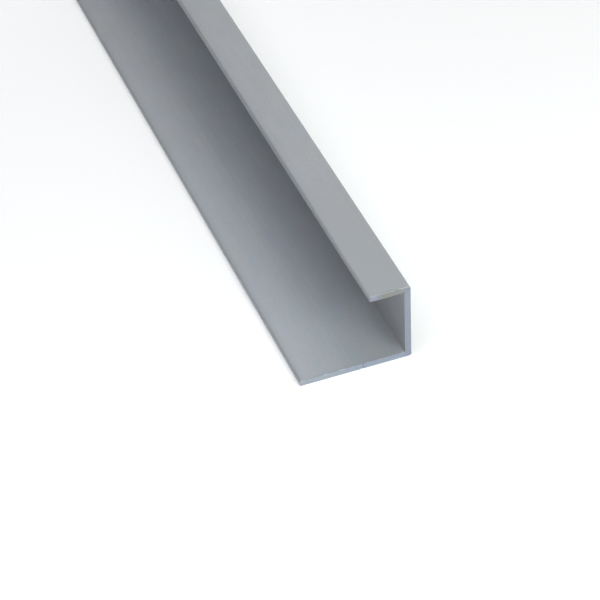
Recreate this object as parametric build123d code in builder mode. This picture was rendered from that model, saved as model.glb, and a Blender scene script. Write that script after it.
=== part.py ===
"""Unequal-leg aluminium channel that closes and trims the edge of a board.

One piece of extruded stock, sawn square at both ends. It lies on its long leg: X runs across the
section towards the web, Y along the length, Z up. The origin is the middle of the underside.
All sizes are in millimetres.
"""

import os

from build123d import *

# Driving dimensions
length = 1000.0  # one retail bar
board_thickness = 16.0  # what the channel closes over, the clear gap between its legs
wall = 1.35  # the same in both legs and the web
long_leg = 25.0  # from the free edge to the outside of the web
short_leg = 9.2  # from the free edge to the outside of the web

# Edge breaks left by the die
outer_corner_radius = 0.6  # where the web turns into each leg, outside
root_radius = 0.4  # the same turns, inside the channel
free_edge_radius = min(0.5, 0.4 * wall)  # both corners of each leg's free edge

# Where the faces of the section stand
height = board_thickness + 2 * wall
web_outside = long_leg / 2
web_inside = web_outside - wall
long_leg_edge = web_outside - long_leg
short_leg_edge = web_outside - short_leg

same_place = 0.01  # two corners nearer than this across the section stand at one place


def corners_at(sketch, x):
    """The two corners of the outline that stand at this place across the section."""
    return sketch.vertices().filter_by_position(Axis.X, x - same_place, x + same_place)


with BuildPart() as j_profile:
    with BuildSketch(Plane.XZ) as section:
        with BuildLine():
            Polyline(
                (long_leg_edge, 0),
                (web_outside, 0),
                (web_outside, height),
                (short_leg_edge, height),
                (short_leg_edge, height - wall),
                (web_inside, height - wall),
                (web_inside, wall),
                (long_leg_edge, wall),
                close=True,
            )
        make_face()
        fillet(corners_at(section, web_outside), outer_corner_radius)
        fillet(corners_at(section, web_inside), root_radius)
        fillet(corners_at(section, short_leg_edge), free_edge_radius)
        fillet(corners_at(section, long_leg_edge), free_edge_radius)
    extrude(amount=length / 2, both=True)

j_profile.part.label = "j_profile"

os.makedirs("parts", exist_ok=True)
export_step(j_profile.part, "parts/j_profile.step")
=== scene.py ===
"""Looks of an unequal-leg aluminium channel: a drawn and anodised bar with sawn ends.

The bar lies on its long leg, on a white floor. X runs across the section towards the web, Y along
the length and Z up, all in metres. The near end, towards -Y, is the one that the photograph shows.
"""

import logging
import math
from dataclasses import dataclass
from enum import Enum, IntEnum
from typing import Any

import bpy
import numpy as np
from mathutils import Matrix, Vector, noise


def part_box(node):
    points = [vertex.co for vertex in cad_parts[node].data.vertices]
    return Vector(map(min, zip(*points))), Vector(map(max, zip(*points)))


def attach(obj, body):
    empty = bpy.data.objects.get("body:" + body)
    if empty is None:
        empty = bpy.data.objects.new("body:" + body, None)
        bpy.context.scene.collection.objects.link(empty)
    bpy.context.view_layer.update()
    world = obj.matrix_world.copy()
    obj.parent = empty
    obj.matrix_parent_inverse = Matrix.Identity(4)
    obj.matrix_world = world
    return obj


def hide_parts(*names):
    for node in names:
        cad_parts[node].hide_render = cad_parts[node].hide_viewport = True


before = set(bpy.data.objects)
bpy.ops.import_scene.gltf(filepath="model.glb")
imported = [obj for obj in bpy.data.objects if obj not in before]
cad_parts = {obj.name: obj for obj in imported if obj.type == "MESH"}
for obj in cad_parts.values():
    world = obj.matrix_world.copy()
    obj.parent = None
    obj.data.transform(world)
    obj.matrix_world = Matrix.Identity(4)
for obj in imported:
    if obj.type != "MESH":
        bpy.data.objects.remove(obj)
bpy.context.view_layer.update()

MM = 0.001
CAD_NODE = "j_profile"
NEAR_PLACE = (0.0, -0.45, 0.0)  # where the lamps by the bar's near end are aimed
FAR_PLACE = (0.0, 0.35, 0.0)  # and those by its far end
BLADE_RADIUS = 125 * MM
BLADE_HUB = (0.4 * BLADE_RADIUS, -0.9 * BLADE_RADIUS)  # where the saw's hub was, by (x, z)
NOISE_REACH = 2.0  # noise keeps near its middle, and this widens it to about -1 and 1

log = logging.getLogger("channel")

Colour = tuple[float, float, float]
Span = tuple[float, float]
Socket = bpy.types.NodeSocket


class Skin(IntEnum):
    """Which of the bar's two finishes a face has."""

    DRAWN = 0
    SAWN = 1


class End(Enum):
    """The two ends of the bar. The value is the side of the middle that the end is on."""

    NEAR = -1
    FAR = 1


class Side(Enum):
    """The two faces of the wall. The value is the place of that face in a pair of points."""

    OUTSIDE = 0
    INSIDE = 1


class Leg(Enum):
    """The two legs, each with its half of the web. The value tells whether it is the upper one."""

    LONG = False
    SHORT = True


class CutNoise(IntEnum):
    """The noises over a cut. The value is what the cut's own seed is moved on by for each."""

    ARRIS = 0
    DRIFT = 2
    ROLL = 5
    UNEVEN = 9


@dataclass(frozen=True)
class Section:
    """The J-shaped section, followed as one wall from the long leg's free edge to the short leg's.

    Each place along the wall is a pair of points, one on the outside face and one on the inside.
    """

    width: float
    height: float
    wall: float = 1.35 * MM
    short_leg: float = 9.2 * MM
    outer_corner: float = 0.6 * MM
    root: float = 0.25 * MM
    nose_length: float = 0.4 * MM  # how far back from its tip a leg starts to round off
    nose_depth: float = 0.38 * MM  # how much of the wall that rounding takes, on each face
    column_step: float = 0.25 * MM
    turn_steps: int = 10
    rows: int = 8

    def free_edge_turn(self, tip_x: float, outside_z: float, inwards: int) -> np.ndarray:
        """The rounded free edge of a leg.

        Args:
            tip_x: where the leg ends.
            outside_z: the height of the leg's outside face.
            inwards: 1 if the inside face lies above the outside one, -1 if below.

        Returns:
            Pairs of points from the tip to where the leg has its full wall.
        """
        angle = np.linspace(0, math.pi / 2, self.turn_steps + 1)
        x = tip_x + self.nose_length * (1 - np.cos(angle))
        depth = self.nose_depth * (1 - np.sin(angle))
        outside = np.stack([x, outside_z + inwards * depth], 1)
        inside = np.stack([x, outside_z + inwards * (self.wall - depth)], 1)
        return np.stack([outside, inside], 1)

    def corner_turn(self, outside_z: float, upwards: int, first: float) -> np.ndarray:
        """One of the two turns between the web and a leg.

        Args:
            outside_z: the height of the leg's outside face.
            upwards: 1 at the lower turn and -1 at the upper one.
            first: the angle that the turn starts at, in degrees.

        Returns:
            Pairs of points over a quarter turn.
        """
        angle = np.radians(np.linspace(first, first + 90, self.turn_steps + 1))
        round_it = np.stack([np.cos(angle), np.sin(angle)], 1)
        web = self.width / 2
        outer_middle = (web - self.outer_corner, outside_z + upwards * self.outer_corner)
        inner_middle = (web - self.wall - self.root, outside_z + upwards * (self.wall + self.root))
        outside = outer_middle + self.outer_corner * round_it
        inside = inner_middle + self.root * round_it
        return np.stack([outside, inside], 1)

    def straight(self, start: np.ndarray, end: np.ndarray) -> np.ndarray:
        """The pairs of points between two pairs, without those two.

        Args:
            start: the pair that the straight stretch starts from.
            end: the pair that it ends at.

        Returns:
            Pairs of points no further apart than column_step.
        """
        longest = np.linalg.norm(end - start, axis=1).max()
        share = np.linspace(0, 1, math.ceil(longest / self.column_step) + 1)[1:-1, None, None]
        return start + (end - start) * share

    def pairs(self) -> np.ndarray:
        """All the pairs of points.

        Returns:
            An array of places by faces by (x, z).
        """
        long_tip = self.free_edge_turn(-self.width / 2, 0.0, 1)
        lower_turn = self.corner_turn(0.0, 1, -90)
        upper_turn = self.corner_turn(self.height, -1, 0)
        short_tip = self.free_edge_turn(self.width / 2 - self.short_leg, self.height, -1)[::-1]
        stretches = [long_tip]
        for turn in (lower_turn, upper_turn, short_tip):
            stretches += [self.straight(stretches[-1][-1], turn[0]), turn]
        return np.concatenate(stretches)

    def from_free_edge(self) -> np.ndarray:
        """How far each column is, along the wall, from the nearer leg's free edge.

        Returns:
            One distance a column.
        """
        middle = self.pairs().mean(axis=1)
        along = np.concatenate([[0.0], np.cumsum(np.linalg.norm(np.diff(middle, axis=0), axis=1))])
        return np.minimum(along, along[-1] - along)

    def from_root(self, points: np.ndarray) -> np.ndarray:
        """How far points are from the nearer of the two corners inside the channel.

        Args:
            points: points by (x, z).

        Returns:
            One distance a point.
        """
        web_inside = self.width / 2 - self.wall
        corners = [(web_inside, self.wall), (web_inside, self.height - self.wall)]
        return np.min([np.linalg.norm(points - corner, axis=1) for corner in corners], axis=0)

    def loop(self) -> list[tuple[int, int]]:
        """The outline's places, once round.

        Returns:
            A column and a row for each.
        """
        last = len(self.pairs()) - 1
        outside = [(column, 0) for column in range(last + 1)]
        short_tip = [(last, row) for row in range(1, self.rows)]
        inside = [(column, self.rows) for column in range(last, -1, -1)]
        long_tip = [(0, row) for row in range(self.rows - 1, 0, -1)]
        return outside + short_tip + inside + long_tip

    def outline(self) -> tuple[np.ndarray, np.ndarray]:
        """The closed outline, without the ridges that the die left.

        Returns:
            The outline's points by (x, z), and 0 to 1 for each from outside to inside.
        """
        loop = self.loop()
        grid = fill_rows(self.pairs(), self.rows)
        points = np.array([grid[place] for place in loop])
        return points, np.array([row / self.rows for _, row in loop])


def fill_rows(pairs: np.ndarray, rows: int) -> np.ndarray:
    """Fill pairs of points across the wall in a number of steps, as columns by rows by (x, z)."""
    share = np.linspace(0, 1, rows + 1)[None, :, None]
    return pairs[:, :1] + (pairs[:, 1:] - pairs[:, :1]) * share


def outward(outline: np.ndarray) -> np.ndarray:
    """The unit normals of a closed outline whose inside lies on its left.

    Args:
        outline: points by (x, z).

    Returns:
        One normal a point, by (x, z).
    """
    along = np.roll(outline, -1, 0) - np.roll(outline, 1, 0)
    normal = np.stack([along[:, 1], -along[:, 0]], 1)
    return normal / np.linalg.norm(normal, axis=1, keepdims=True)


def wander(points: np.ndarray, pitch: float, seed: float) -> np.ndarray:
    """Smooth noise between about -1 and 1, with lumps of the pitch, at points by (x, z)."""
    places = points.reshape(-1, 2) / pitch
    return np.array([noise.noise(Vector((x, z, seed))) for x, z in places]).reshape(points.shape[:-1])


def to_share(value: np.ndarray) -> np.ndarray:
    """Take values from -1 and 1 to 0 and 1."""
    return 0.5 + 0.5 * value


def window(x: np.ndarray, low: float, high: float, soft: float) -> np.ndarray:
    """A smooth mask along the section.

    Args:
        x: where the points are.
        low: where the mask is 1 from.
        high: where it is 1 to.
        soft: how far past each of those it fades.

    Returns:
        One value a point, from 0 to 1.
    """
    rise = np.clip((x - low) / soft + 1, 0, 1)
    fall = np.clip((high - x) / soft + 1, 0, 1)
    return rise * rise * (3 - 2 * rise) * fall * fall * (3 - 2 * fall)


@dataclass(frozen=True)
class Burr:
    """Ragged metal that the saw pushed past the inside face of the wall, along part of the cut."""

    leg: Leg
    low_x: float
    high_x: float
    height: float
    seed: float
    pitch: float
    usual: float = 0.55  # the share of the height that it has where the noise is in its middle
    raggedness: float = 0.75  # how far the noise takes it from there

    def heights(self, outline: np.ndarray, side: np.ndarray, middle_z: float) -> np.ndarray:
        """How far the burr stands off the outline at each of its points.

        Args:
            outline: points by (x, z).
            side: 0 for an outside point, 1 for an inside one and between them at a free edge.
            middle_z: the height that parts the short leg from the long one.

        Returns:
            One height a point.
        """
        x, z = outline.T
        here = (side == Side.INSIDE.value) & ((z > middle_z) == self.leg.value)
        ragged = np.clip(self.usual + self.raggedness * wander(outline, self.pitch, self.seed), 0, 1)
        return here * window(x, self.low_x, self.high_x, self.pitch) * ragged * self.height


@dataclass(frozen=True)
class Score:
    """A short straight dent in the face of the cut."""

    start: Span
    end: Span
    width: float
    depth: float

    def depths(self, face: np.ndarray) -> np.ndarray:
        """How deep the score is at points of the face.

        Args:
            face: points by (x, z) in the last axis.

        Returns:
            One depth a point.
        """
        start, along = np.array(self.start), np.array(self.end) - np.array(self.start)
        share = np.clip((face - start) @ along / (along @ along), 0, 1)[..., None]
        away = np.linalg.norm(face - start - share * along, axis=-1)
        return self.depth * np.exp(-((2 * away / self.width) ** 2))


@dataclass(frozen=True)
class SawCut:
    """One sawn end: the marks of the blade, broken edges, burrs and small damage."""

    end: End
    seed: float
    burrs: tuple[Burr, ...]
    scores: tuple[Score, ...] = ()
    rolled_from: float = 1.0  # where the top edge starts to be rolled over; past the bar for none
    rolled_to: float = 1.0
    rolled: float = 0.08 * MM
    roll_pitch: float = 1.6 * MM
    roll_spread: float = 0.3
    roll_fade: float = 1.2 * MM
    arris: float = 0.04 * MM
    inner_arris: float = 0.06 * MM
    arris_pitch: float = 1.1 * MM
    arris_spread: float = 0.55
    burr_run: float = 0.9  # how soon a burr dies out behind the cut, as a share of its height
    burr_foot: float = 0.02 * MM  # and besides that share
    burr_hides: float = 0.25  # how high it stands, as a share of the broken edge, to hide that edge
    tooth_pitch: float = 0.8 * MM
    tooth_depth: float = 0.012 * MM
    tooth_drift: float = 0.6  # how far the marks wander from their circles, as a share of the pitch
    drift_pitch: float = 4 * MM
    unevenness: float = 0.02 * MM
    uneven_pitch: float = 3 * MM

    def edge_breaks(self, outline: np.ndarray, side: np.ndarray, middle_z: float) -> np.ndarray:
        """The radius that the cut's edge is broken by, round the outline.

        Args:
            outline: points by (x, z).
            side: 0 for an outside point and 1 for an inside one.
            middle_z: the height that parts the short leg from the long one.

        Returns:
            One radius a point.
        """
        x, z = outline.T
        plain = np.where(side > 0.5, self.inner_arris, self.arris)
        spread = self.arris_spread * wander(outline, self.arris_pitch, self.seed + CutNoise.ARRIS)
        plain = plain * (1 + spread)
        top = (side == Side.OUTSIDE.value) & (z > middle_z)
        ragged = 1 + self.roll_spread * wander(outline, self.roll_pitch, self.seed + CutNoise.ROLL)
        rolled = self.rolled * ragged * window(x, self.rolled_from, self.rolled_to, self.roll_fade)
        return np.where(top, np.maximum(plain, rolled), plain)

    def stand_off(self, outline: np.ndarray, side: np.ndarray, middle_z: float, depth: float) -> np.ndarray:
        """How far the bar's faces stand off the plain outline, this deep behind the cut.

        Args:
            outline: points by (x, z).
            side: 0 for an outside point and 1 for an inside one.
            middle_z: the height that parts the short leg from the long one.
            depth: the distance behind the cut.

        Returns:
            One distance a point, below zero where the edge is broken.
        """
        breaks = self.edge_breaks(outline, side, middle_z)
        short = np.clip(breaks - depth, 0, None)
        inset = breaks - np.sqrt(breaks**2 - short**2)
        raised = np.zeros(len(outline))
        for burr in self.burrs:
            heights = burr.heights(outline, side, middle_z)
            run = self.burr_run * heights + self.burr_foot
            raised = np.maximum(raised, heights * np.exp(-depth / run))
        return np.where(raised > self.burr_hides * breaks, raised, -inset)

    def sunk(self, face: np.ndarray) -> np.ndarray:
        """How far points of the cut lie behind its plane.

        Args:
            face: points by (x, z) in the last axis.

        Returns:
            One depth a point, never below zero.
        """
        from_hub = np.hypot(face[..., 0] - BLADE_HUB[0], face[..., 1] - BLADE_HUB[1])
        drift = self.tooth_drift * wander(face, self.drift_pitch, self.seed + CutNoise.DRIFT)
        teeth = to_share(np.sin(2 * math.pi * (from_hub / self.tooth_pitch + drift)))
        uneven = to_share(wander(face, self.uneven_pitch, self.seed + CutNoise.UNEVEN))
        depth = self.tooth_depth * teeth + self.unevenness * uneven
        for score in self.scores:
            depth = depth + score.depths(face)
        return np.clip(depth, 0, None)


class Tree:
    """A node tree, with short calls to add nodes and wire them."""

    def __init__(self, tree: bpy.types.NodeTree) -> None:
        """Keep the tree that the nodes go into."""
        self.tree = tree

    def add(self, kind: str, inputs: dict[Any, Any] | None = None, **settings: Any) -> bpy.types.Node:
        """Add a node.

        Args:
            kind: the node's Blender type, without the word ShaderNode.
            inputs: for each input, by name or number, a socket to wire to it or its value.
            **settings: the node's own properties.

        Returns:
            The new node.
        """
        node = self.tree.nodes.new("ShaderNode" + kind)
        for name, value in settings.items():
            setattr(node, name, value)
        self.fill(node, inputs or {})
        return node

    def fill(self, node: bpy.types.Node, inputs: dict[Any, Any]) -> None:
        """Set or wire a node's inputs.

        Args:
            node: the node.
            inputs: for each input, by name or number, a socket to wire to it or its value.
        """
        for key, value in inputs.items():
            if isinstance(value, Socket):
                self.tree.links.new(value, node.inputs[key])
            else:
                node.inputs[key].default_value = value

    def math(self, operation: str, *values: Any) -> Socket:
        """Add a Math node and return its result."""
        return self.add("Math", dict(enumerate(values)), operation=operation).outputs[0]

    def vector_math(self, operation: str, *values: Any) -> Socket:
        """Add a Vector Math node and return its result, a number for a length and else a vector."""
        outputs = self.add("VectorMath", dict(enumerate(values)), operation=operation).outputs
        return outputs["Value" if operation in ("LENGTH", "DISTANCE") else "Vector"]

    def noise(self, place: Socket, scale: Any, detail: float, seed: Any = None) -> bpy.types.Node:
        """Add a Noise Texture node.

        Args:
            place: where the noise is read.
            scale: how many lumps it has in a metre, as a number or a socket.
            detail: how many times finer lumps are added.
            seed: moves the noise to another place, as a number or a socket; none for plain noise.

        Returns:
            The new node.
        """
        inputs = {"Vector": place, "Scale": scale, "Detail": detail}
        if seed is None:
            return self.add("TexNoise", inputs)
        return self.add("TexNoise", inputs | {"W": seed}, noise_dimensions="4D")

    def centred(self, value: Socket, reach: float = 1.0) -> Socket:
        """Take a value from 0 and 1 to minus and plus the reach."""
        return self.math("MULTIPLY_ADD", value, 2 * reach, -reach)

    def ramp(self, value: Any, span: Span, to: tuple[Any, Any]) -> Socket:
        """Take a value smoothly over a span to two others, given as numbers or sockets."""
        inputs = {"Value": value, "From Min": span[0], "From Max": span[1], "To Min": to[0], "To Max": to[1]}
        return self.add("MapRange", inputs, interpolation_type="SMOOTHSTEP").outputs["Result"]

    def mix(self, share: Any, first: Any, second: Any) -> Socket:
        """Mix two colours, each a socket or four numbers, by the share of the second one."""
        return self.add("Mix", {0: share, 6: first, 7: second}, data_type="RGBA").outputs[2]

    def scaled(self, colour: Socket, share: Socket) -> Socket:
        """Multiply a colour by a number."""
        return self.add("VectorMath", {0: colour, "Scale": share}, operation="SCALE").outputs[0]

    def place(self) -> Socket:
        """Where a point is on the bar, in metres."""
        return self.add("TexCoord").outputs["Object"]

    def axes(self) -> Any:
        """The same place as the sockets of its x, y and z."""
        return self.add("SeparateXYZ", {0: self.place()}).outputs

    def distance(self, name: str) -> Socket:
        """One of the distances that the mesh holds at its points, in metres."""
        return self.add("Attribute", attribute_name=name).outputs["Fac"]


class NewMaterial(Tree):
    """A new material and its node tree."""

    def __init__(self, name: str) -> None:
        """Make the material.

        Args:
            name: what it is called.
        """
        self.material = bpy.data.materials.new(name)
        self.material.use_nodes = True
        super().__init__(self.material.node_tree)


class Effect:
    """A node group that more than one finish places, built when it is first asked for."""

    name = ""
    inputs: dict[str, tuple[str, Any]] = {}
    outputs: dict[str, str] = {}

    def group(self) -> bpy.types.NodeTree:
        """Find the group, or build it.

        Returns:
            The group's node tree.
        """
        if self.name in bpy.data.node_groups:
            return bpy.data.node_groups[self.name]
        tree = bpy.data.node_groups.new(self.name, "ShaderNodeTree")
        for name, (kind, value) in self.inputs.items():
            socket = tree.interface.new_socket(name, in_out="INPUT", socket_type="NodeSocket" + kind)
            socket.default_value = value
        for name, kind in self.outputs.items():
            tree.interface.new_socket(name, in_out="OUTPUT", socket_type="NodeSocket" + kind)
        taken = tree.nodes.new("NodeGroupInput")
        given = tree.nodes.new("NodeGroupOutput")
        for name, socket in self.build(Tree(tree), taken.outputs).items():
            tree.links.new(socket, given.inputs[name])
        return tree

    def build(self, tree: Tree, taken: Any) -> dict[str, Socket]:
        """Build what is inside the group, from its inputs' sockets, and give a socket for each output."""
        raise NotImplementedError

    def use(self, tree: Tree, **inputs: Any) -> Any:
        """Place the group in a material, with its inputs by name and _ for a space; give its outputs."""
        named = {key.replace("_", " "): value for key, value in inputs.items()}
        return tree.add("Group", named, node_tree=self.group()).outputs


class FineGrain(Effect):
    """The even, fine tooth of etched metal."""

    name = "fine grain"
    inputs = {"Grain Size": ("Float", 0.25 * MM), "Seed": ("Float", 0.0)}
    outputs = {"Tone": "Float"}

    def build(self, tree: Tree, taken: Any) -> dict[str, Socket]:
        """Noise at the grain's size and at half of it, between about -1 and 1.

        Args:
            tree: the group's tree.
            taken: its inputs.

        Returns:
            The noise's socket, by its output's name.
        """
        scale = tree.math("DIVIDE", 1.0, taken["Grain Size"])
        speckle = tree.noise(tree.place(), scale, detail=1.0, seed=taken["Seed"]).outputs[0]
        return {"Tone": tree.centred(speckle, NOISE_REACH)}


class CloudyTint(Effect):
    """Broad, faint patches where a finish is a little warmer or cooler, lighter or darker."""

    name = "cloudy tint"
    inputs = {
        "Color": ("Color", (0.5, 0.5, 0.5, 1)),
        "Patch Size": ("Float", 6 * MM),
        "Amount": ("Float", 0.03),
        "Seed": ("Float", 0.0),
    }
    outputs = {"Color": "Color"}
    squeeze = (1.0, 0.45, 1.0)  # so that the patches are about twice as long along the bar

    def build(self, tree: Tree, taken: Any) -> dict[str, Socket]:
        """Two noises of the patches' size: one turns the colour, the other its lightness.

        Args:
            tree: the group's tree.
            taken: its inputs.

        Returns:
            The tinted colour's socket, by its output's name.
        """
        scale = tree.math("DIVIDE", 1.0, taken["Patch Size"])
        squeezed = tree.vector_math("MULTIPLY", tree.place(), self.squeeze)
        value, colours = tree.noise(squeezed, scale, detail=2.0, seed=taken["Seed"]).outputs
        warm = tree.math("MULTIPLY", tree.centred(value), taken["Amount"])
        lift = tree.centred(tree.add("SeparateColor", {0: colours}).outputs[1])
        light = tree.math("MULTIPLY_ADD", lift, taken["Amount"], 1.0)
        red = tree.math("ADD", light, warm)
        blue = tree.math("SUBTRACT", light, warm)
        factor = tree.add("CombineXYZ", {0: red, 1: light, 2: blue}).outputs[0]
        return {"Color": tree.vector_math("MULTIPLY", taken["Color"], factor)}


class ArrisBand(Effect):
    """A mask of the thin line along the edge that the saw broke: worn metal on the cut, painted shade on the
    drawn faces.
    """

    name = "arris band"
    inputs = {"Distance": ("Float", 1.0), "Width": ("Float", 0.12 * MM), "Seed": ("Float", 0.0)}
    outputs = {"Mask": "Float"}
    wobble_size = 0.5 * MM
    narrowest = 0.1  # the share of its width that the line has at the least
    wobble = 2.0  # and what the noise adds to that
    full = 0.3  # how far across the line the mask stays 1

    def build(self, tree: Tree, taken: Any) -> dict[str, Socket]:
        """A falling ramp from the edge, whose width wanders.

        Args:
            tree: the group's tree.
            taken: its inputs.

        Returns:
            The mask's socket, by its output's name.
        """
        noises = tree.noise(tree.place(), 1 / self.wobble_size, detail=2.0, seed=taken["Seed"])
        wobble = tree.math("MULTIPLY_ADD", noises.outputs[0], self.wobble, self.narrowest)
        width = tree.math("MULTIPLY", taken["Width"], wobble)
        across = tree.math("DIVIDE", taken["Distance"], width)
        return {"Mask": tree.ramp(across, (self.full, 1.0), (1.0, 0.0))}


class SpotMask(Effect):
    """A mask of a spot near the cut: stained, dulled or rubbed, or painted shade."""

    name = "spot mask"
    inputs = {"Middle": ("Vector", (0, 0, 0)), "Reach": ("Vector", (1, 1, 1)), "Seed": ("Float", 0.0)}
    outputs = {"Mask": "Float"}
    edge_size = 0.9 * MM
    raggedness = 1.1  # how far the noise moves the edge, as a share of the reach
    fade = (0.45, 1.15)  # where the spot starts to fade, and has gone, in the same measure

    def build(self, tree: Tree, taken: Any) -> dict[str, Socket]:
        """A ball stretched to the spot's reach, with a ragged edge.

        Args:
            tree: the group's tree.
            taken: its inputs.

        Returns:
            The mask's socket, by its output's name.
        """
        off = tree.vector_math("SUBTRACT", tree.place(), taken["Middle"])
        away = tree.vector_math("LENGTH", tree.vector_math("DIVIDE", off, taken["Reach"]))
        noises = tree.noise(tree.place(), 1 / self.edge_size, detail=2.0, seed=taken["Seed"])
        away = tree.math("SUBTRACT", away, self.raggedness / 2)
        edge = tree.math("MULTIPLY_ADD", noises.outputs[0], self.raggedness, away)
        return {"Mask": tree.ramp(edge, self.fade, (1.0, 0.0))}


GRAIN, TINT, ARRIS, SPOT_MASK = FineGrain(), CloudyTint(), ArrisBand(), SpotMask()


@dataclass(frozen=True)
class StainAndShadeSpot:
    """A stained, dulled or rubbed place near the near end's cut, or a place of painted shade there."""

    middle: tuple[float, float, float]
    reach: tuple[float, float, float]
    colour: Colour
    strength: float
    seed: float

    def over(self, tree: Tree, colour: Socket, lift: float) -> Socket:
        """Lay the spot over a colour.

        Args:
            tree: the material's tree.
            colour: what is under the spot.
            lift: what the spot's own colour is multiplied by.

        Returns:
            The socket of the colour with the spot laid over it.
        """
        mask = SPOT_MASK.use(tree, Middle=self.middle, Reach=self.reach, Seed=self.seed)["Mask"]
        own = (*(min(1.0, lift * part) for part in self.colour), 1)
        return tree.mix(tree.math("MULTIPLY", mask, self.strength), colour, own)


@dataclass(frozen=True)
class MetalFinish:
    """What the finish of the drawn faces and that of the sawn ends have in common."""

    name: str
    colour: Colour
    arris_wear_and_shade: Colour  # along the edge that the saw broke: worn metal on the cut, painted shade on the drawn faces
    arris_band_width: float
    arris_band_from: str  # the mesh's distance from that edge
    metallic: float
    roughness: float
    mark_tone: float
    mark_depth: float
    mark_roughness: float
    grain_size: float
    grain_tone: float
    grain_depth: float
    grain_roughness: float
    patch_size: float
    patch_tone: float
    spot_lift: float  # what a spot's own colour is multiplied by
    seeds: tuple[float, float, float]  # the grain's, the patches' and the arris band's

    def marks(self, tree: Tree) -> Socket:
        """What the tool left on the metal, between about -1 and 1."""
        raise NotImplementedError

    def plain_colour(self, tree: Tree) -> Socket:
        """The finish's colour, before its marks, grain, patches and stains."""
        raise NotImplementedError

    def shade(self, tree: Tree) -> Socket:
        """How much of the plain tone is left at each place; on the drawn faces this is painted shade."""
        raise NotImplementedError

    def material(self, stains_and_shade: tuple[StainAndShadeSpot, ...]) -> bpy.types.Material:
        """Make the material.

        Args:
            stains_and_shade: the stains and painted shade that lie on the finish near the cut.

        Returns:
            The new material.
        """
        tree = NewMaterial(self.name)
        marks = self.marks(tree)
        grain_seed, patch_seed, arris_seed = self.seeds
        grain = GRAIN.use(tree, Grain_Size=self.grain_size, Seed=grain_seed)["Tone"]
        patches = {"Patch_Size": self.patch_size, "Amount": self.patch_tone, "Seed": patch_seed}
        tinted = TINT.use(tree, Color=self.plain_colour(tree), **patches)["Color"]
        tone = tree.math("MULTIPLY_ADD", marks, self.mark_tone, 1.0)
        tone = tree.math("MULTIPLY_ADD", grain, self.grain_tone, tone)
        tone = tree.math("MULTIPLY", tone, self.shade(tree))
        from_edge = tree.distance(self.arris_band_from)
        arris_band = ARRIS.use(tree, Distance=from_edge, Width=self.arris_band_width, Seed=arris_seed)["Mask"]
        finished = tree.mix(arris_band, tree.scaled(tinted, tone), (*self.arris_wear_and_shade, 1))
        for laid_spot in stains_and_shade:
            finished = laid_spot.over(tree, finished, self.spot_lift)
        rough = tree.math("MULTIPLY_ADD", marks, self.mark_roughness, self.roughness)
        rough = tree.math("MULTIPLY_ADD", grain, self.grain_roughness, rough)
        height = tree.math("MULTIPLY", marks, self.mark_depth)
        height = tree.math("MULTIPLY_ADD", grain, self.grain_depth, height)
        normal = tree.add("Bump", {"Height": height, "Strength": 1.0, "Distance": 1.0}).outputs[0]
        shader = tree.tree.nodes["Principled BSDF"]
        tree.fill(shader, {"Base Color": finished, "Roughness": rough, "Normal": normal})
        shader.inputs["Metallic"].default_value = self.metallic
        return tree.material


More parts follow.
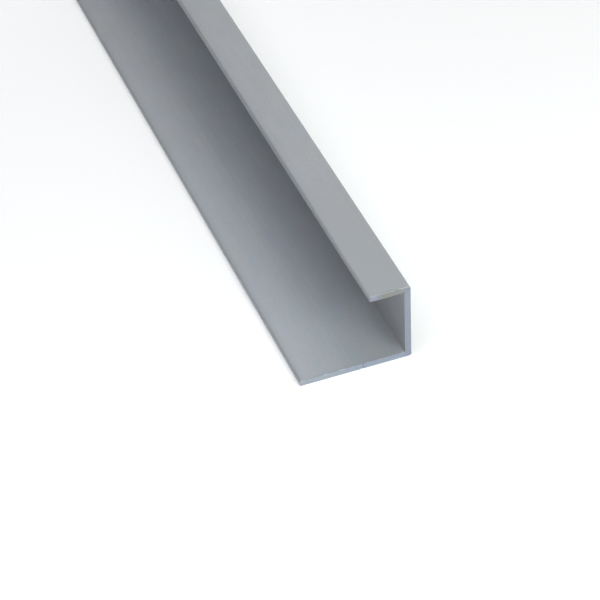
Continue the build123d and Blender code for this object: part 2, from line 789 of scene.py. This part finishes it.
@dataclass(frozen=True)
class DrawnFinish(MetalFinish):
    """Satin, natural silver anodising over the fine lines that the die drew."""

    name: str = "natural_silver_anodised"
    colour: Colour = (0.483, 0.508, 0.533)
    # painted shade along the edge that the saw broke, darker than the drawn colour
    arris_wear_and_shade: Colour = (0.41, 0.435, 0.475)
    arris_band_width: float = 0.2 * MM
    arris_band_from: str = "from_cut"
    metallic: float = 0.6
    roughness: float = 0.5
    mark_tone: float = 0.03
    mark_depth: float = 0.0012 * MM
    mark_roughness: float = 0.02
    grain_size: float = 0.3 * MM
    grain_tone: float = 0.05
    grain_depth: float = 0.0012 * MM
    grain_roughness: float = 0.02
    patch_size: float = 3.5 * MM
    patch_tone: float = 0.055
    spot_lift: float = 1.2  # because this finish is lighter than the cut
    seeds: tuple[float, float, float] = (1.0, 0.0, 3.0)
    line_spacing: float = 0.6 * MM
    line_length: float = 260 * MM
    lit_leg_colour: Colour = (0.507, 0.546, 0.584)  # painted light: the long leg is lighter and bluer at its near end, away from the web
    leg_across: Span = (7 * MM, -1 * MM)  # where that colour comes in, and is full
    leg_along: Span = (-330 * MM, -490 * MM)
    leg_up: Span = (5 * MM, 1.5 * MM)
    shaded_web_colour: Colour = (0.476, 0.482, 0.498)  # painted shade: the web's inside, greyer and darker at its near end, under the short leg
    web_inside: Span = (10.5 * MM, 11.1 * MM)
    web_outside: Span = (12.3 * MM, 11.6 * MM)
    web_along: Span = (-440 * MM, -485 * MM)
    edge_shade_tone: float = 0.91  # painted shade at a leg's free edge, as a share of the plain tone
    edge_reach: float = 2.0 * MM
    rim_shade_tone: float = 0.82  # painted shade on the rounding of that edge, besides
    rim_reach: float = 0.6 * MM
    root_shade_tone: float = 0.88  # painted shade in the corners inside the channel
    root_reach: float = 0.45 * MM

    def marks(self, tree: Tree) -> Socket:
        """The die's lines: noise drawn out along the bar.

        Args:
            tree: the material's tree.

        Returns:
            The lines' socket.
        """
        across, along = 1 / self.line_spacing, 1 / self.line_length
        drawn_out = tree.vector_math("MULTIPLY", tree.place(), (across, along, across))
        return tree.centred(tree.noise(drawn_out, 1.0, detail=3.0).outputs[0], NOISE_REACH)

    def plain_colour(self, tree: Tree) -> Socket:
        """The colour, with painted light that makes the long leg lighter and bluer towards its near corner,
        and painted shade that makes the web's inside greyer there.

        Args:
            tree: the material's tree.

        Returns:
            The colour's socket.
        """
        x, y, z = tree.axes()
        leg = self.where(tree, (x, self.leg_across), (y, self.leg_along), (z, self.leg_up))
        web = self.where(tree, (x, self.web_inside), (x, self.web_outside), (y, self.web_along))
        bluer = tree.mix(leg, (*self.colour, 1), (*self.lit_leg_colour, 1))
        return tree.mix(web, bluer, (*self.shaded_web_colour, 1))

    @staticmethod
    def where(tree: Tree, *spans: tuple[Socket, Span]) -> Socket:
        """A mask that is 1 where each value is past the end of its span.

        Args:
            tree: the material's tree.
            *spans: a value and the span that it brings the mask in over.

        Returns:
            The mask's socket.
        """
        mask = tree.ramp(*spans[0], (0.0, 1.0))
        for value, span in spans[1:]:
            mask = tree.math("MULTIPLY", mask, tree.ramp(value, span, (0.0, 1.0)))
        return mask

    def shade(self, tree: Tree) -> Socket:
        """Painted shade: the finish darkens towards the legs' free edges and into the channel's corners.

        Args:
            tree: the material's tree.

        Returns:
            The share's socket.
        """
        from_edge = tree.distance("from_free_edge")
        edge = tree.ramp(from_edge, (0.0, self.edge_reach), (self.edge_shade_tone, 1.0))
        rim = tree.ramp(from_edge, (0.0, self.rim_reach), (self.rim_shade_tone, 1.0))
        root = tree.ramp(tree.distance("from_root"), (0.0, self.root_reach), (self.root_shade_tone, 1.0))
        return tree.math("MULTIPLY", tree.math("MULTIPLY", edge, rim), root)


@dataclass(frozen=True)
class SawnFinish(MetalFinish):
    """Bare aluminium, fresh from a circular saw."""

    name: str = "sawn_aluminium"
    # bluer than bare aluminium: the metal's own tint, and painted reflection of cool light from the front
    colour: Colour = (0.315, 0.346, 0.418)
    arris_wear_and_shade: Colour = (0.32, 0.35, 0.41)
    arris_band_width: float = 0.1 * MM
    arris_band_from: str = "from_rim"
    metallic: float = 0.8
    roughness: float = 0.45
    mark_tone: float = 0.05
    mark_depth: float = 0.003 * MM
    mark_roughness: float = 0.05
    grain_size: float = 0.12 * MM
    grain_tone: float = 0.05
    grain_depth: float = 0.0015 * MM
    grain_roughness: float = 0.0
    patch_size: float = 2.5 * MM
    patch_tone: float = 0.06
    spot_lift: float = 1.0
    seeds: tuple[float, float, float] = (4.0, 2.0, 6.0)
    arc_spacing: float = 0.24 * MM
    arc_drift: float = 9.0  # how far the arcs wander from their circles, in radians of their wave
    drift_size: float = 1.5 * MM
    towards_free_edge: Colour = (0.351, 0.376, 0.416)  # lighter and less blue towards the long leg's free edge
    towards_free_edge_across: Span = (-7 * MM, 2 * MM)  # where that colour is full, and has gone
    web_tone: float = 0.9  # the cut is a little darker over the web than over the legs
    web_across: Span = (10.4 * MM, 11.3 * MM)

    def marks(self, tree: Tree) -> Socket:
        """The arcs that the blade's teeth left across the cut.

        Args:
            tree: the material's tree.

        Returns:
            The arcs' socket.
        """
        flat = tree.vector_math("MULTIPLY", tree.place(), (1, 0, 1))
        from_hub = tree.vector_math("DISTANCE", flat, (BLADE_HUB[0], 0, BLADE_HUB[1]))
        drift = tree.noise(tree.place(), 1 / self.drift_size, detail=3.0).outputs[0]
        drift = tree.math("MULTIPLY", drift, self.arc_drift)
        turns = tree.math("MULTIPLY_ADD", from_hub, 2 * math.pi / self.arc_spacing, drift)
        return tree.math("SINE", turns)

    def plain_colour(self, tree: Tree) -> Socket:
        """The metal's colour, lighter and less blue towards the long leg's free edge."""
        towards_free_edge = tree.ramp(tree.axes()[0], self.towards_free_edge_across, (1.0, 0.0))
        return tree.mix(towards_free_edge, (*self.colour, 1), (*self.towards_free_edge, 1))

    def shade(self, tree: Tree) -> Socket:
        """How the cut darkens over the web."""
        return tree.ramp(tree.axes()[0], self.web_across, (1.0, self.web_tone))


@dataclass(frozen=True)
class ChannelBar:
    """The whole bar: its drawn faces and its two sawn ends."""

    section: Section
    length: float
    cuts: tuple[SawCut, SawCut]
    stains_and_shade: tuple[StainAndShadeSpot, ...]
    first_ring: float = 0.03 * MM
    ring_growth: float = 1.4
    widest_ring: float = 20 * MM
    cut_relief: float = 0.1 * MM  # how soon the unevenness of a cut dies out behind it
    die_relief: float = 0.003 * MM
    die_pitch: float = 1.3 * MM
    die_seed: float = 7.3
    shell_start: float = 0.1  # where the drawn faces start up the flat map, above the two cuts
    cut_starts: Span = (0.0, 0.05)  # where the near and the far cut start up it
    cut_rise: float = 0.04

    def rings(self) -> np.ndarray:
        """How far the rings of points lie behind the nearer cut, up to the middle of the bar.

        Returns:
            One depth a ring.
        """
        depths, step = [0.0], self.first_ring
        while step < self.widest_ring:
            depths.append(depths[-1] + step)
            step *= self.ring_growth
        rest = self.length / 2 - depths[-1]
        count = math.ceil(rest / self.widest_ring)
        return np.concatenate([depths, depths[-1] + rest * np.arange(1, count + 1) / count])

    def outline(self) -> tuple[np.ndarray, np.ndarray]:
        """The section's outline, with the faint ridges that the die left.

        Returns:
            The outline's points by (x, z), and 0 to 1 for each from outside to inside.
        """
        points, side = self.section.outline()
        ridges = self.die_relief * to_share(wander(points, self.die_pitch, self.die_seed))
        return points - outward(points) * ridges[:, None], side

    def from_edges(self) -> tuple[np.ndarray, np.ndarray]:
        """How far the outline's points are from the free edges and from the channel's corners.

        Returns:
            One distance a point for each of the two. Outside points are far from any corner.
        """
        points, side = self.section.outline()
        from_free_edge = self.section.from_free_edge()
        inside = side == Side.INSIDE.value
        from_root = np.where(inside, self.section.from_root(points), self.section.width)
        return np.array([from_free_edge[column] for column, _ in self.section.loop()]), from_root

    def cut_face(self, rim: np.ndarray) -> np.ndarray:
        """The points of a sawn end.

        Args:
            rim: the outline where it meets the cut, by (x, z).

        Returns:
            An array of columns by rows by (x, z).
        """
        columns, rows = len(self.section.pairs()), self.section.rows
        outside, inside = rim[:columns], rim[columns + rows - 1 : 2 * columns + rows - 1][::-1]
        face = fill_rows(np.stack([outside, inside], 1), rows)
        for place, point in zip(self.section.loop(), rim):
            face[place] = point
        return face

    def half(self, cut: SawCut) -> tuple[np.ndarray, np.ndarray]:
        """The points of half the bar, from one cut to the middle.

        Args:
            cut: the saw cut at that end.

        Returns:
            Rings by places by (x, y, z), and the cut's face as columns by rows by (x, y, z).
        """
        outline, side = self.outline()
        normals = outward(outline)
        middle_z = self.section.height / 2
        rings = []
        for depth in self.rings():
            off = cut.stand_off(outline, side, middle_z, depth)
            flat = outline + normals * off[:, None]
            sunk = cut.sunk(flat) * math.exp(-depth / self.cut_relief)
            y = cut.end.value * (self.length / 2 - depth - sunk)
            rings.append(np.stack([flat[:, 0], y, flat[:, 1]], 1))
        face = self.cut_face(rings[0][:, [0, 2]])
        y = cut.end.value * (self.length / 2 - cut.sunk(face))
        return np.array(rings), np.stack([face[..., 0], y, face[..., 1]], -1)

    def build(self) -> bpy.types.Object:
        """Make the bar's mesh and object.

        Returns:
            The bar, with its two materials, its attributes and its map.
        """
        near, near_face = self.half(self.cuts[0])
        far, far_face = self.half(self.cuts[1])
        rings = np.concatenate([near, far[-2::-1]])
        depths = np.concatenate([self.rings(), self.rings()[-2::-1]])
        round_it = rings.shape[1]
        vertices = [rings.reshape(-1, 3)]
        faces, maps = self.shell_faces(len(rings), round_it)
        skins = [Skin.DRAWN] * len(faces)
        start = len(vertices[0])
        from_edge, from_root = self.from_edges()
        layers = {
            "from_rim": [np.zeros(start)],
            "from_cut": [np.repeat(depths, round_it)],
            "from_free_edge": [np.tile(from_edge, len(rings))],
            "from_root": [np.tile(from_root, len(rings))],
        }
        for cut, face, ring in zip(self.cuts, (near_face, far_face), (0, len(rings) - 1)):
            inner = face[1:-1, 1:-1]
            number = self.face_numbers(face.shape[:2], ring * round_it, start)
            vertices.append(inner.reshape(-1, 3))
            depths_in = {"from_rim": self.from_rim(face)[1:-1, 1:-1].ravel()}
            blank = np.zeros(len(vertices[-1]))
            for name, values in layers.items():
                values.append(depths_in.get(name, blank))
            start += len(blank)
            more, more_maps = self.cut_faces(number, cut.end)
            faces += more
            maps += more_maps
            skins += [Skin.SAWN] * len(more)
        mesh = bpy.data.meshes.new("channel_bar")
        mesh.from_pydata(np.concatenate(vertices).tolist(), [], faces)
        mesh.polygons.foreach_set("material_index", skins)
        mesh.polygons.foreach_set("use_smooth", [True] * len(faces))
        for name, values in layers.items():
            layer = mesh.attributes.new(name, "FLOAT", "POINT")
            layer.data.foreach_set("value", np.concatenate(values))
        flat_map = mesh.uv_layers.new(name="OFBake")
        flat_map.data.foreach_set("uv", np.array(maps, float).ravel())
        self.sharpen_rims(mesh, round_it, len(rings))
        mesh.materials.append(DrawnFinish().material(self.stains_and_shade))
        mesh.materials.append(SawnFinish().material(self.stains_and_shade))
        mesh.validate()
        bar = bpy.data.objects.new("channel_bar", mesh)
        bpy.context.scene.collection.objects.link(bar)
        return bar

    def shell_faces(self, rings: int, round_it: int) -> tuple[list, list]:
        """The faces between the rings.

        Args:
            rings: the number of rings.
            round_it: the number of points in each.

        Returns:
            The faces, and the map's corners for each.
        """
        faces, maps = [], []
        outline, _ = self.outline()
        steps = np.linalg.norm(np.roll(outline, -1, 0) - outline, axis=1)
        across = np.concatenate([[0.0], np.cumsum(steps)]) / steps.sum()
        start, rise = self.shell_start, 1 - self.shell_start
        for ring in range(rings - 1):
            low, high = (start + rise * k / (rings - 1) for k in (ring, ring + 1))
            for place in range(round_it):
                after = (place + 1) % round_it
                here, there = ring * round_it, (ring + 1) * round_it
                faces.append((here + place, here + after, there + after, there + place))
                left, right = across[place], across[place + 1]
                maps.append(((left, low), (right, low), (right, high), (left, high)))
        return faces, maps

    def face_numbers(self, shape: tuple[int, int], rim_start: int, inner_start: int) -> np.ndarray:
        """The vertex numbers of a sawn end's grid.

        Args:
            shape: its columns and rows.
            rim_start: the number of the ring's first vertex.
            inner_start: the number of the first vertex inside the rim.

        Returns:
            Columns by rows of vertex numbers.
        """
        number = np.zeros(shape, int)
        inner = (shape[0] - 2, shape[1] - 2)
        number[1:-1, 1:-1] = inner_start + np.arange(inner[0] * inner[1]).reshape(inner)
        for offset, place in enumerate(self.section.loop()):
            number[place] = rim_start + offset
        return number

    def cut_faces(self, number: np.ndarray, end: End) -> tuple[list, list]:
        """The faces of a sawn end.

        Args:
            number: columns by rows of vertex numbers.
            end: which end it is.

        Returns:
            The faces, and the map's corners for each.
        """
        faces, maps = [], []
        columns, rows = number.shape
        start = self.cut_starts[0 if end is End.NEAR else 1]
        for column in range(columns - 1):
            for row in range(rows - 1):
                around = [(column, row), (column, row + 1), (column + 1, row + 1), (column + 1, row)]
                if end is End.FAR:
                    around.reverse()
                faces.append(tuple(int(number[place]) for place in around))
                across, rise = 1 / (columns - 1), self.cut_rise / (rows - 1)
                maps.append(tuple((c * across, start + rise * r) for c, r in around))
        return faces, maps

    @staticmethod
    def from_rim(face: np.ndarray) -> np.ndarray:
        """How far each point of a sawn end is from its outline.

        Args:
            face: columns by rows by (x, y, z).

        Returns:
            Columns by rows of distances.
        """
        columns, rows = face.shape[:2]
        wall = np.linalg.norm(face[:, -1] - face[:, 0], axis=1)[:, None]
        across = np.minimum(np.arange(rows), np.arange(rows)[::-1])[None] / (rows - 1) * wall
        middle = face[:, rows // 2]
        ends = np.stack([np.linalg.norm(middle - middle[k], axis=1) for k in (0, -1)])
        return np.minimum(across, ends.min(0)[:, None])

    @staticmethod
    def sharpen_rims(mesh: bpy.types.Mesh, round_it: int, rings: int) -> None:
        """Mark the edges round both cuts as sharp.

        Args:
            mesh: the bar's mesh.
            round_it: the number of points in a ring.
            rings: the number of rings.
        """
        ends = np.zeros(len(mesh.edges) * 2, int)
        mesh.edges.foreach_get("vertices", ends)
        first, second = ends.reshape(-1, 2).T
        last = (rings - 1) * round_it
        in_near = (first < round_it) & (second < round_it)
        in_far = (first >= last) & (second >= last) & (first < last + round_it)
        sharp = mesh.attributes.new("sharp_edge", "BOOLEAN", "EDGE")
        sharp.data.foreach_set("value", in_near | (in_far & (second < last + round_it)))


def direction(azimuth: float, elevation: float) -> Vector:
    """A unit vector out, by degrees turned from the near end towards the web's side and up."""
    turn, rise = math.radians(azimuth), math.radians(elevation)
    return Vector((math.sin(turn) * math.cos(rise), -math.cos(turn) * math.cos(rise), math.sin(rise)))


@dataclass(frozen=True)
class Softbox:
    """A soft square lamp, aimed at a place on the bar."""

    name: str
    azimuth: float
    elevation: float
    distance: float
    side: float
    radiance: float
    colour: Colour = (1.0, 1.0, 1.0)
    aim: tuple[float, float, float] = NEAR_PLACE

    def hang(self) -> None:
        """Add the lamp to the scene."""
        lamp = bpy.data.lights.new(self.name, "AREA")
        lamp.shape = "SQUARE"
        lamp.size = self.side
        lamp.energy = math.pi * self.side**2 * self.radiance
        lamp.color = self.colour
        back = direction(self.azimuth, self.elevation)
        holder = bpy.data.objects.new(self.name, lamp)
        holder.location = Vector(self.aim) + self.distance * back
        holder.rotation_euler = (-back).to_track_quat("-Z", "Y").to_euler()
        bpy.context.scene.collection.objects.link(holder)


@dataclass(frozen=True)
class Studio:
    """A white floor that ends at a low white wall, in a dim room, with soft lamps."""

    softboxes: tuple[Softbox, ...]
    room_light: float = 0.1
    room_colour: Colour = (0.97, 0.99, 1.0)
    white: Colour = (0.8, 0.8, 0.8)
    near_glow: float = 0.26  # by the bar's near end, where the lamps reach most
    middle_glow: float = 0.58  # by the rest of the bar
    far_glow: float = 1.0
    glow_along: Span = (-0.4, -0.05)  # where the near glow turns into the middle one
    near_reach: float = 0.2  # how far from the bar's line the glow starts to rise
    far_reach: float = 1.0
    reach_along: float = 0.55  # how much less distance along the bar counts
    floor_radius: float = 30.0
    wall_height: float = 4.0
    wall_sides: int = 96

    @staticmethod
    def seen(tree: Tree) -> Socket:
        """Tell what the camera, metal or glass sees from what only lights the scene.

        Args:
            tree: the card's tree.

        Returns:
            The socket of 1 for the first and 0 for the second.
        """
        path = tree.add("LightPath").outputs
        both = tree.math("ADD", path["Is Camera Ray"], path["Is Glossy Ray"])
        return tree.math("ADD", both, path["Is Transmission Ray"])

    def white_card(self) -> bpy.types.Material:
        """The floor's and the wall's matt white, which takes the bar's shadow.

        Returns:
            The new material.
        """
        tree = NewMaterial("white_card")
        tree.tree.nodes.clear()
        matt = tree.add("BsdfDiffuse", {"Color": (*self.white, 1)})
        flat = tree.vector_math("MULTIPLY", tree.place(), (1, self.reach_along, 1))
        away = tree.vector_math("LENGTH", flat)
        by_bar = tree.ramp(tree.axes()[1], self.glow_along, (self.near_glow, self.middle_glow))
        glow = tree.ramp(away, (self.near_reach, self.far_reach), (by_bar, self.far_glow))
        strength = tree.math("MULTIPLY", self.seen(tree), glow)
        light = tree.add("Emission", {"Strength": strength})
        both = tree.add("AddShader", {0: matt.outputs[0], 1: light.outputs[0]})
        tree.add("OutputMaterial", {"Surface": both.outputs[0]})
        return tree.material

    def lay_floor(self) -> None:
        """Add the floor that the bar lies on, with the wall round its rim."""
        angles = 2 * math.pi * np.arange(self.wall_sides) / self.wall_sides
        rim = self.floor_radius * np.stack([np.cos(angles), np.sin(angles)], 1)
        low = [(x, y, 0.0) for x, y in rim]
        high = [(x, y, self.wall_height) for x, y in rim]
        sides = self.wall_sides
        wall = [(k, (k + 1) % sides, (k + 1) % sides + sides, k + sides) for k in range(sides)]
        mesh = bpy.data.meshes.new("floor")
        mesh.from_pydata(low + high, [], [tuple(range(sides))] + wall)
        mesh.materials.append(self.white_card())
        floor = bpy.data.objects.new("floor", mesh)
        bpy.context.scene.collection.objects.link(floor)

    def light_room(self) -> None:
        """Light the room evenly and dimly."""
        world = bpy.data.worlds.new("dim_room")
        world.use_nodes = True
        even = world.node_tree.nodes["Background"]
        even.inputs["Color"].default_value = (*self.room_colour, 1)
        even.inputs["Strength"].default_value = self.room_light
        bpy.context.scene.world = world

    def set_up(self) -> None:
        """Build the floor, the room and the lamps."""
        self.lay_floor()
        self.light_room()
        for softbox in self.softboxes:
            softbox.hang()


@dataclass(frozen=True)
class PhotoCamera:
    """The camera that the photograph was taken with, as its straight edges give it."""

    aim: Span = (-2.551 * MM, -473.95 * MM)  # on the floor, in the picture's middle
    distance: float = 545.48 * MM
    azimuth: float = -19.044
    elevation: float = 39.809
    roll: float = -2.851
    lens: float = 152.239
    sensor: float = 36.0
    clip: Span = (0.01, 100.0)

    def place(self) -> bpy.types.Object:
        """Add the camera and make it the scene's own.

        Returns:
            The camera.
        """
        lean = math.radians(self.roll)
        back = direction(self.azimuth, self.elevation)
        level = Vector((0, 0, 1)).cross(back).normalized()
        upright = back.cross(level)
        right = level * math.cos(lean) + upright * math.sin(lean)
        above = upright * math.cos(lean) - level * math.sin(lean)
        data = bpy.data.cameras.new("photo_camera")
        data.lens = self.lens
        data.sensor_width = self.sensor
        data.clip_start, data.clip_end = self.clip
        camera = bpy.data.objects.new("photo_camera", data)
        axes = Matrix((right, above, back)).transposed().to_4x4()
        camera.matrix_world = Matrix.Translation(Vector((*self.aim, 0)) + back * self.distance) @ axes
        bpy.context.scene.collection.objects.link(camera)
        bpy.context.scene.camera = camera
        return camera


def burr(leg: Leg, low_x: float, high_x: float, height: float, seed: float, pitch: float = 0.7) -> Burr:
    """A burr whose lengths are given in millimetres."""
    return Burr(leg, low_x * MM, high_x * MM, height * MM, seed, pitch * MM)


def near_cut() -> SawCut:
    """The cut that the photograph shows, with its burrs and small marks.

    Returns:
        The near end's cut.
    """
    burrs = (
        burr(Leg.LONG, -10.6, 0.0, 0.11, 1.0),
        burr(Leg.LONG, 0.0, 10.0, 0.06, 5.0),
        burr(Leg.LONG, 11.0, 11.4, 0.1, 6.0, 0.1),
        burr(Leg.SHORT, 11.0, 11.4, 0.1, 7.0, 0.1),
        burr(Leg.LONG, -7.0, -6.5, 0.25, 2.0, 0.3),
        burr(Leg.LONG, -3.6, -2.6, 0.16, 3.0, 0.3),
        burr(Leg.SHORT, 5.2, 10.6, 0.06, 4.0, 1.1),
    )
    scores = (
        Score((1.9 * MM, 1.35 * MM), (1.3 * MM, 0.1 * MM), 0.4 * MM, 0.25 * MM),
        Score((9.3 * MM, 18.5 * MM), (9.6 * MM, 18.2 * MM), 0.4 * MM, 0.1 * MM),
    )
    return SawCut(End.NEAR, 11.0, burrs, scores, rolled_from=5.6 * MM, rolled_to=11.4 * MM)


def far_cut() -> SawCut:
    """The hidden end's cut, made with the same saw."""
    burrs = (burr(Leg.LONG, -10.6, 10.0, 0.06, 21.0), burr(Leg.SHORT, 4.4, 10.6, 0.08, 24.0))
    return SawCut(End.FAR, 31.0, burrs)


def near_stains_and_shade(near_y: float, height: float) -> tuple[StainAndShadeSpot, ...]:
    """Oil and marks on the short leg's end, painted shade over that leg's top near the cut, over its rolled
    top edge and in its inner corner, and bright and dark places on the long leg's.

    Args:
        near_y: where the near cut is.
        height: the bar's height.

    Returns:
        The stains and the painted shade.
    """

    def spot(
        x: float, z: float, wide: float, tall: float, colour: Colour, strength: float, seed: float
    ) -> StainAndShadeSpot:
        """A spot that reaches half a millimetre behind the cut; the lengths are in millimetres."""
        return StainAndShadeSpot((x * MM, near_y, z * MM), (wide * MM, 0.5 * MM, tall * MM), colour, strength, seed)

    top = height / MM
    dull_end_and_edge_shade, tan, brown_corner_shade = (0.245, 0.255, 0.25), (0.30, 0.252, 0.2), (0.17, 0.165, 0.155)
    grey, bright, dark = (0.22, 0.225, 0.24), (0.47, 0.5, 0.56), (0.22, 0.235, 0.28)
    lavender, short_top_shade = (0.315, 0.325, 0.395), (0.385, 0.406, 0.425)
    return (
        # painted shade: darker over the short leg's top, for 45 mm behind the cut
        StainAndShadeSpot((8 * MM, near_y, height), (9 * MM, 45 * MM, 0.3 * MM), short_top_shade, 0.9, 14.0),
        # darker over the short leg's end, and painted shade over the highlight of its rolled top edge
        spot(8.0, top - 0.7, 4.2, 1.6, dull_end_and_edge_shade, 0.85, 5.0),
        spot(4.3, top - 0.7, 1.1, 0.7, lavender, 0.8, 15.0),
        spot(3.4, top - 0.8, 0.4, 0.9, dark, 0.8, 16.0),
        spot(7.3, top - 0.9, 1.0, 0.8, tan, 0.6, 1.0),
        spot(10.0, top - 1.1, 1.4, 0.4, tan, 0.4, 2.0),
        spot(9.4, top - 0.2, 0.6, 0.35, grey, 0.6, 3.0),
        # painted shade in the corner where the short leg meets the web, at the cut
        spot(10.9, top - 1.35, 0.5, 0.4, brown_corner_shade, 0.6, 7.0),
        spot(-6.75, 1.35, 0.45, 0.45, bright, 0.9, 8.0),
        spot(-3.1, 1.3, 0.9, 0.3, bright, 0.6, 9.0),
        spot(1.6, 0.8, 0.3, 0.9, dark, 0.6, 10.0),
        spot(1.1, 0.9, 0.5, 0.4, bright, 0.35, 12.0),
        spot(9.7, 0.95, 2.1, 0.14, dark, 0.5, 13.0),
    )


def main() -> None:
    """Build the bar, the studio and the camera."""
    logging.basicConfig(level=logging.INFO, format="%(message)s")
    bpy.context.scene.view_settings.view_transform = "Standard"
    low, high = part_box(CAD_NODE)
    section = Section(width=high.x - low.x, height=high.z - low.z)
    bar = ChannelBar(
        section=section,
        length=high.y - low.y,
        cuts=(near_cut(), far_cut()),
        stains_and_shade=near_stains_and_shade(low.y, section.height),
    ).build()
    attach(bar, "root")
    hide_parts(CAD_NODE)
    log.info("%s: %d vertices, %d faces", bar.name, len(bar.data.vertices), len(bar.data.polygons))
    softboxes = (
        Softbox("front_softbox", 15, 26, 0.6, 0.4, 5.6, (0.93, 1.05, 1.02)),
        Softbox("left_softbox", 300, 65, 0.7, 0.5, 2.95, (0.98, 0.97, 1.03)),
        Softbox("back_softbox", 152, 48, 1.5, 1.0, 0.82, (1.04, 0.99, 0.98)),
        Softbox("right_softbox", 45, 38, 0.9, 0.7, 0.74, (1.08, 0.97, 0.9)),
        Softbox("far_left_softbox", 240, 50, 0.7, 0.5, 1.1, aim=FAR_PLACE),
        Softbox("far_right_softbox", 120, 35, 0.8, 0.5, 0.64, aim=FAR_PLACE),
    )
    Studio(softboxes).set_up()
    log.info("studio: %d lamps", len(softboxes))
    camera = PhotoCamera().place()
    log.info("camera: %.1f mm lens", camera.data.lens)
    bpy.context.view_layer.update()


if __name__ == "__main__":
    main()
